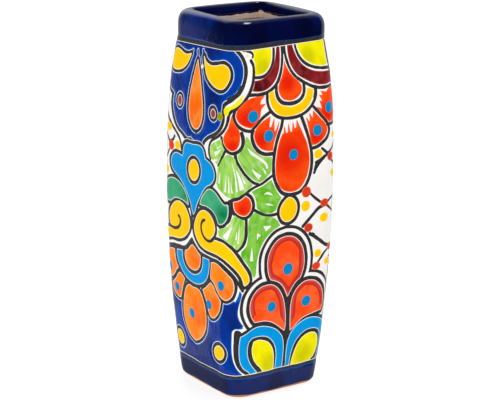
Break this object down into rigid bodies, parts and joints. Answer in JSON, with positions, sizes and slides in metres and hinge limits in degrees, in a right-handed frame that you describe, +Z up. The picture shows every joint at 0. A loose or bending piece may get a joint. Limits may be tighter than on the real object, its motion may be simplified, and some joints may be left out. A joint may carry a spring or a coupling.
{
  "type": "pottery vase",
  "caption": "Tall square pottery vase with bowed sides and a rolled square lip, open at the top, closed flat foot.",
  "frame": {"origin": "centre of the flat foot, where the vase stands", "axes": "+Z up through the mouth, X and Y square to the four sides, -Y is the front side"},
  "size_m": [0.1066, 0.1066, 0.305],
  "materials": {
    "bare_clay": "matte",
    "white_glaze": "gloss",
    "cobalt_glaze": "gloss",
    "black_line": "satin",
    "golden_glaze": "gloss",
    "orange_glaze": "gloss",
    "red_glaze": "gloss",
    "maroon_glaze": "gloss",
    "sky_blue_glaze": "gloss",
    "teal_glaze": "gloss",
    "leaf_green_glaze": "gloss",
    "lime_glaze": "gloss"
  },
  "bodies": {
    "root": {"base_slab": "bare_clay", "front_wall": "bare_clay", "right_wall": "bare_clay", "back_wall": "bare_clay", "left_wall": "bare_clay", "rim_collar": "bare_clay", "base_coil": "bare_clay", "corner_coil_front_right": "bare_clay", "corner_coil_back_right": "bare_clay", "corner_coil_back_left": "bare_clay", "corner_coil_front_left": "bare_clay"}
  },
  "joints": []
}
